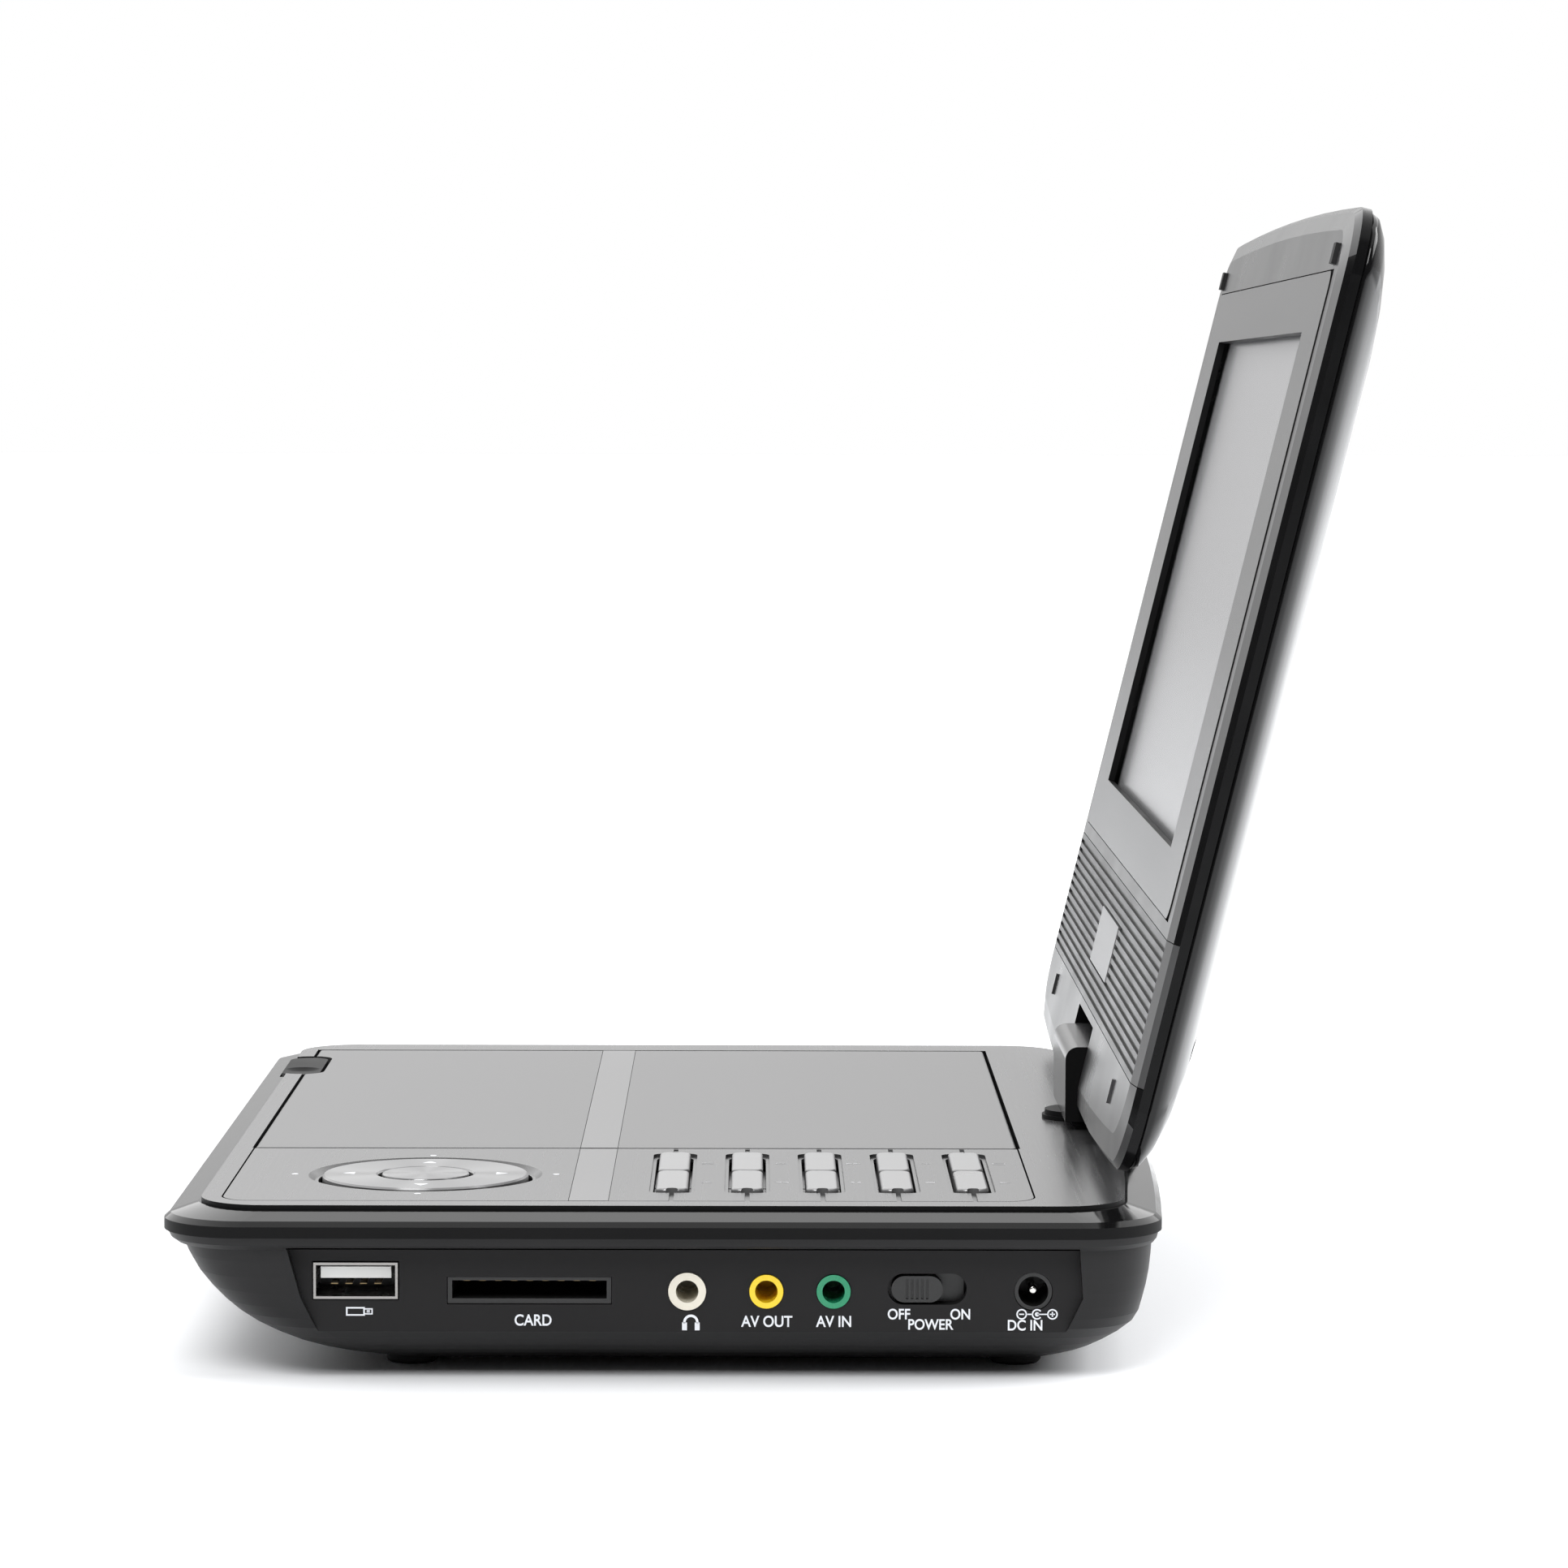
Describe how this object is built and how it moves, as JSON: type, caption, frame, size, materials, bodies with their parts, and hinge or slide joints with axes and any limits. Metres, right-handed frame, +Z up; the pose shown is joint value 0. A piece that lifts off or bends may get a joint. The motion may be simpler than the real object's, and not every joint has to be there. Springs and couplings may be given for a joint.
{
  "type": "portable disc player",
  "caption": "Portable disc player: flat base with a disc door, keys and side sockets, and a lid with a wide screen on a swivelling hinge.",
  "frame": {"origin": "on the table under the middle of the opened player", "axes": "X across towards the socket side, Y from the front edge to the hinge, Z up"},
  "size_m": [0.222, 0.1945, 0.1877],
  "materials": {
    "housing_black": "fine satin black ABS",
    "rim_gloss": "polished black rim around a brushed dark top",
    "brushed_top": "brushed dark metallic film",
    "stripe_grey": "lighter grey inlay",
    "foot_rubber": "soft black rubber",
    "screw_steel": "zinc plated steel",
    "board_green": "solder-masked glass-fibre board",
    "tray_black": "textured black ABS",
    "chassis_steel": "galvanised sheet steel",
    "motor_steel": "plated motor can and ground rods",
    "battery_wrap": "shrink-wrapped lithium pack",
    "usb_metal": "nickel plated shell",
    "socket_white": "white moulded insulator",
    "socket_black": "black moulded socket",
    "jack_cream": "cream moulded jack",
    "jack_yellow": "yellow moulded jack",
    "jack_green": "green moulded jack",
    "turret_black": "polished black ABS",
    "slider_black": "ribbed black slider",
    "key_silver": "satin silver paint",
    "nav_chrome": "spun silver with a radial sheen",
    "turntable_black": "black hub with steel balls",
    "sled_metal": "cast sled",
    "lens_glass": "coated objective lens",
    "lid_gloss": "polished black",
    "grille_black": "satin dark ribbed grille",
    "plate_grey": "plain satin plate",
    "lcd_grey": "unlit display"
  },
  "bodies": {
    "base": {"lower_housing": "housing_black", "upper_housing": "rim_gloss", "control_panel": "brushed_top", "panel_stripe": "stripe_grey", "rubber_feet": "foot_rubber", "case_screws": "screw_steel", "key_board": "board_green", "disc_tray": "tray_black", "loader_chassis": "chassis_steel", "grommets": "foot_rubber", "loader_screws": "screw_steel", "spindle_motor": "motor_steel", "guide_rods": "motor_steel", "sled_motor": "tray_black", "main_board": "board_green", "battery_pack": "battery_wrap", "usb_shell": "usb_metal", "usb_tongue": "socket_white", "card_socket": "socket_black", "headphone_jack": "jack_cream", "av_out_jack": "jack_yellow", "av_in_jack": "jack_green", "dc_jack": "socket_black", "dc_pin": "usb_metal", "switch_body": "socket_black", "swivel_plate": "chassis_steel"},
    "turret": {"turret": "turret_black", "swivel_clip": "chassis_steel", "hinge_pin": "motor_steel"},
    "lid": {"lid_frame": "lid_gloss", "speaker_grille": "grille_black", "name_plate": "plate_grey", "screen_bezel": "lid_gloss", "lcd_panel": "lcd_grey", "lid_pads": "foot_rubber", "back_cover": "lid_gloss", "hinge_arms": "chassis_steel", "speakers": "tray_black", "lid_board": "board_green", "lid_screws": "screw_steel"},
    "door": {"disc_door": "brushed_top", "door_stripe": "stripe_grey"},
    "open_button": {"open_button": "turret_black"},
    "power_slider": {"power_slider": "slider_black"},
    "nav_ring": {"nav_ring": "nav_chrome"},
    "nav_button": {"nav_button": "nav_chrome"},
    "turntable": {"turntable": "turntable_black"},
    "laser_sled": {"laser_sled": "sled_metal", "pickup_lens": "lens_glass"},
    "lead_screw": {"lead_screw": "motor_steel"},
    "inner_key_1": {"inner_key_1": "key_silver"},
    "outer_key_1": {"outer_key_1": "key_silver"},
    "inner_key_2": {"inner_key_2": "key_silver"},
    "outer_key_2": {"outer_key_2": "key_silver"},
    "inner_key_3": {"inner_key_3": "key_silver"},
    "outer_key_3": {"outer_key_3": "key_silver"},
    "inner_key_4": {"inner_key_4": "key_silver"},
    "outer_key_4": {"outer_key_4": "key_silver"},
    "inner_key_5": {"inner_key_5": "key_silver"},
    "outer_key_5": {"outer_key_5": "key_silver"}
  },
  "joints": [
    {"name": "turret_swivel", "type": "hinge", "parent": "base", "child": "turret", "pos_m": [0, 0.0552, 0.028], "axis": [0, 0, 1], "range_deg": [-180, 0]},
    {"name": "lid_tilt", "type": "hinge", "parent": "turret", "child": "lid", "pos_m": [0, 0.0594, 0.0346], "axis": [-1, 0, 0], "range_deg": [-103.8, 76.2]},
    {"name": "door_hinge", "type": "hinge", "parent": "base", "child": "door", "pos_m": [0, 0.0413, 0.027], "axis": [-1, 0, 0], "range_deg": [0, 55]},
    {"name": "open_button_press", "type": "slide", "parent": "base", "child": "open_button", "axis": [0, 0, -1], "range_m": [0, 0.0012], "stiffness_N_per_m": 250, "springref_m": -0.0004},
    {"name": "power_slide", "type": "slide", "parent": "base", "child": "power_slider", "axis": [0, 1, 0], "range_m": [0, 0.0032]},
    {"name": "turntable_spin", "type": "hinge", "parent": "base", "child": "turntable", "pos_m": [-0.028, -0.0229, 0.02], "axis": [0, 0, 1], "continuous": true},
    {"name": "sled_slide", "type": "slide", "parent": "base", "child": "laser_sled", "axis": [-1, 0, 0], "range_m": [0, 0.034]},
    {"name": "lead_screw_turn", "type": "hinge", "parent": "base", "child": "lead_screw", "pos_m": [-0.06, 0.0051, 0.0156], "axis": [-1, 0, 0], "range_deg": [0, 4080]},
    {"name": "inner_key_1_press", "type": "slide", "parent": "base", "child": "inner_key_1", "axis": [0, 0, -1], "range_m": [0, 0.0008], "stiffness_N_per_m": 250, "springref_m": -0.0004},
    {"name": "outer_key_1_press", "type": "slide", "parent": "base", "child": "outer_key_1", "axis": [0, 0, -1], "range_m": [0, 0.0008], "stiffness_N_per_m": 250, "springref_m": -0.0004},
    {"name": "inner_key_2_press", "type": "slide", "parent": "base", "child": "inner_key_2", "axis": [0, 0, -1], "range_m": [0, 0.0008], "stiffness_N_per_m": 250, "springref_m": -0.0004},
    {"name": "outer_key_2_press", "type": "slide", "parent": "base", "child": "outer_key_2", "axis": [0, 0, -1], "range_m": [0, 0.0008], "stiffness_N_per_m": 250, "springref_m": -0.0004},
    {"name": "inner_key_3_press", "type": "slide", "parent": "base", "child": "inner_key_3", "axis": [0, 0, -1], "range_m": [0, 0.0008], "stiffness_N_per_m": 250, "springref_m": -0.0004},
    {"name": "outer_key_3_press", "type": "slide", "parent": "base", "child": "outer_key_3", "axis": [0, 0, -1], "range_m": [0, 0.0008], "stiffness_N_per_m": 250, "springref_m": -0.0004},
    {"name": "inner_key_4_press", "type": "slide", "parent": "base", "child": "inner_key_4", "axis": [0, 0, -1], "range_m": [0, 0.0008], "stiffness_N_per_m": 250, "springref_m": -0.0004},
    {"name": "outer_key_4_press", "type": "slide", "parent": "base", "child": "outer_key_4", "axis": [0, 0, -1], "range_m": [0, 0.0008], "stiffness_N_per_m": 250, "springref_m": -0.0004},
    {"name": "inner_key_5_press", "type": "slide", "parent": "base", "child": "inner_key_5", "axis": [0, 0, -1], "range_m": [0, 0.0008], "stiffness_N_per_m": 250, "springref_m": -0.0004},
    {"name": "outer_key_5_press", "type": "slide", "parent": "base", "child": "outer_key_5", "axis": [0, 0, -1], "range_m": [0, 0.0008], "stiffness_N_per_m": 250, "springref_m": -0.0004},
    {"name": "nav_ring_press", "type": "slide", "parent": "base", "child": "nav_ring", "axis": [0, 0, -1], "range_m": [0, 0.0006], "stiffness_N_per_m": 250, "springref_m": -0.0004},
    {"name": "nav_button_press", "type": "slide", "parent": "base", "child": "nav_button", "axis": [0, 0, -1], "range_m": [0, 0.0006], "stiffness_N_per_m": 250, "springref_m": -0.0004}
  ],
  "couplings": [
    {"joint": "lead_screw_turn", "follows": "sled_slide", "rad_per_m": 2094.4}
  ]
}
